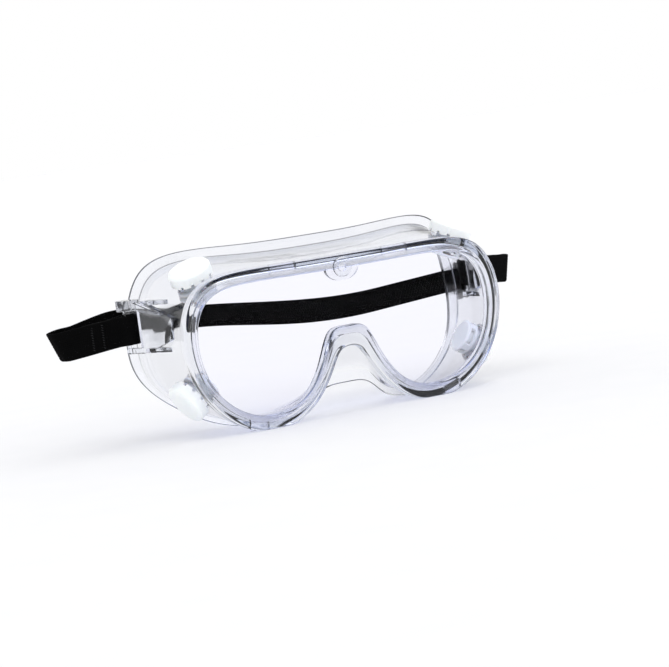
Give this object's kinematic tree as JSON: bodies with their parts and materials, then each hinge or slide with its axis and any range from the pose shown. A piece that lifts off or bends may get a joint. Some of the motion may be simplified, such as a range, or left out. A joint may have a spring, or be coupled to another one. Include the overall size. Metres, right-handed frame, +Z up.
{
  "type": "safety goggles",
  "caption": "Clear splash goggles with a soft moulded body, a one-piece lens, white indirect vents and a black elastic strap.",
  "frame": {"origin": "bottom centre of the whole object, on the surface that the goggles stand on", "axes": "+X towards the wearer's left along the width, -Y out through the lens, +Z up"},
  "size_m": [0.2298, 0.064, 0.0771],
  "materials": {
    "soft_pvc": "clear gloss",
    "lens_polycarbonate": "polished clear",
    "stud_clear": "clear gloss",
    "vent_white": "satin moulded",
    "webbing": "woven elastic",
    "slide_plastic": "satin moulded"
  },
  "bodies": {
    "goggles": {"goggle_body": "soft_pvc", "lens": "lens_polycarbonate", "brow_button": "stud_clear", "vent_cap_upper_left": "vent_white", "vent_cap_upper_right": "vent_white", "vent_cap_lower_left": "vent_white", "vent_cap_lower_right": "vent_white", "vent_retainer_upper_left": "vent_white", "vent_retainer_upper_right": "vent_white", "vent_retainer_lower_left": "vent_white", "vent_retainer_lower_right": "vent_white"},
    "strap": {"strap": "webbing"},
    "adjuster": {"strap_adjuster": "slide_plastic"}
  },
  "joints": [
    {"name": "strap_swing", "type": "hinge", "parent": "goggles", "child": "strap", "pos_m": [0, 0.00677, 0.048], "axis": [1, 0, 0], "range_deg": [-18, 18]},
    {"name": "adjuster_slide", "type": "slide", "parent": "strap", "child": "adjuster", "axis": [-0.9978, 0, -0.0663], "range_m": [0, 0.026]}
  ]
}
